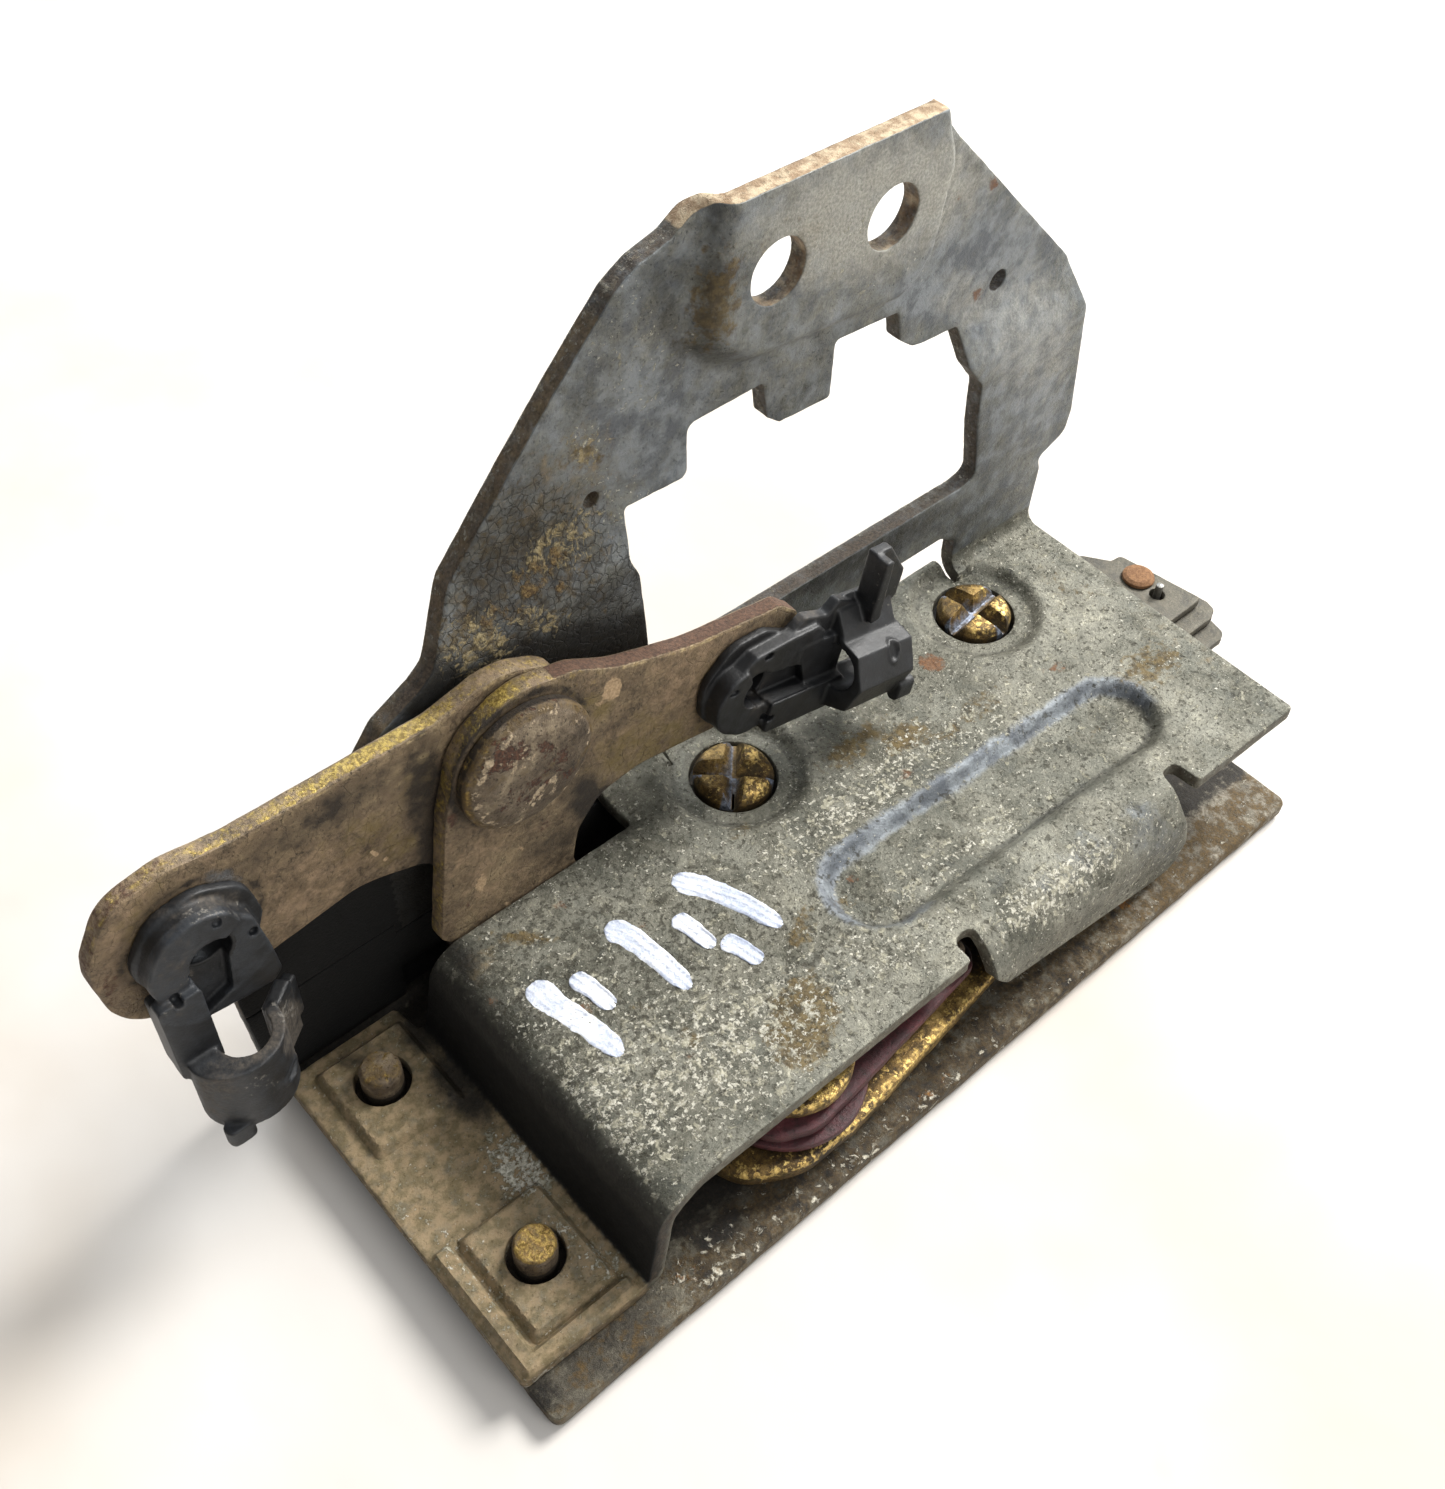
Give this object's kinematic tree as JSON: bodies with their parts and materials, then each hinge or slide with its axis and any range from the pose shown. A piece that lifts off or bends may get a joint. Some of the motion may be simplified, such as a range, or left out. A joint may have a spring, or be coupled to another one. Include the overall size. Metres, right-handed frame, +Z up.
{
  "type": "door latch mechanism",
  "caption": "Vehicle door latch: pressed housing with upright bracket, two bell-crank levers with rod clips, and a link, slide, pawl and rotary fork between the plates.",
  "frame": {"origin": "centre of the base plate's flat underside", "axes": "+X along the base plate's long side towards the fork, +Y towards the upright bracket, +Z up, away from the base plate"},
  "size_m": [0.1413, 0.0518, 0.083],
  "materials": {
    "base_steel": "brown-grey zinc, dull, with white crust along the front edge",
    "zinc_sheet": "weathered galvanised sheet, dull, white oxide and brown stains",
    "passivate": "yellow passivate worn to olive brown",
    "gold_zinc": "bright yellow zinc plate",
    "red_coat": "dark red coating, satin",
    "black_plastic": "matte, dusty",
    "rivet_steel": "dull steel with rust pits",
    "spring_steel": "bright drawn wire",
    "dark_steel": "oily dark steel"
  },
  "bodies": {
    "housing": {"base_plate": "base_steel", "cover_plate": "zinc_sheet", "flange_post_1": "passivate", "flange_post_2": "passivate", "pawl_post": "gold_zinc", "fork_post": "gold_zinc", "link_pin": "rivet_steel", "pivot_rivet": "rivet_steel", "pivot_spacer": "rivet_steel", "spacer_disc": "red_coat", "link_cap_washer": "gold_zinc"},
    "release_lever": {"release_lever": "passivate"},
    "lock_lever": {"lock_lever": "passivate"},
    "release_clip": {"rod_clip_release": "black_plastic"},
    "lock_clip": {"rod_clip_lock": "black_plastic"},
    "release_link": {"release_link": "gold_zinc", "link_stud": "rivet_steel", "link_spring": "spring_steel"},
    "lock_slide": {"lock_slide": "red_coat", "slide_stud": "rivet_steel"},
    "pawl": {"pawl": "dark_steel", "pawl_spring": "spring_steel"},
    "fork": {"fork_plate_bottom": "dark_steel", "fork_plate_middle": "dark_steel", "fork_plate_top": "dark_steel", "fork_rivet_1": "passivate", "fork_rivet_2": "passivate", "fork_rivet_3": "passivate", "fork_spring": "spring_steel"}
  },
  "joints": [
    {"name": "release_lever_pivot", "type": "hinge", "parent": "housing", "child": "release_lever", "pos_m": [-0.0282, 0.01985, 0.0379], "axis": [0, 1, 0], "range_deg": [0, 8]},
    {"name": "lock_lever_pivot", "type": "hinge", "parent": "housing", "child": "lock_lever", "pos_m": [-0.0282, 0.01755, 0.0379], "axis": [0, -1, 0], "range_deg": [0, 10]},
    {"name": "release_clip_swivel", "type": "hinge", "parent": "release_lever", "child": "release_clip", "pos_m": [-0.0619, 0.0188, 0.0376], "axis": [0, -1, 0], "range_deg": [-30, 15]},
    {"name": "lock_clip_swivel", "type": "hinge", "parent": "lock_lever", "child": "lock_clip", "pos_m": [0.0005, 0.0165, 0.0298], "axis": [0, -1, 0], "range_deg": [-6, 30]},
    {"name": "release_link_pivot", "type": "hinge", "parent": "housing", "child": "release_link", "pos_m": [-0.019, -0.0138, 0.0058], "axis": [0, 0, 1], "range_deg": [0, 7.6]},
    {"name": "lock_slide_travel", "type": "slide", "parent": "housing", "child": "lock_slide", "axis": [1, 0, 0], "range_m": [0, 0.005]},
    {"name": "pawl_pivot", "type": "hinge", "parent": "housing", "child": "pawl", "pos_m": [-0.0008, 0.0147, 0.0093], "axis": [0, 0, -1], "range_deg": [0, 7.4]},
    {"name": "fork_pivot", "type": "hinge", "parent": "housing", "child": "fork", "pos_m": [0.0398, 0.015, 0.0093], "axis": [0, 0, 1], "range_deg": [0, 26]}
  ],
  "couplings": [
    {"joint": "release_link_pivot", "follows": "release_lever_pivot", "ratio": 0.93},
    {"joint": "pawl_pivot", "follows": "release_lever_pivot", "ratio": 0.9},
    {"joint": "lock_slide_travel", "follows": "lock_lever_pivot", "m_per_rad": 0.0279}
  ]
}
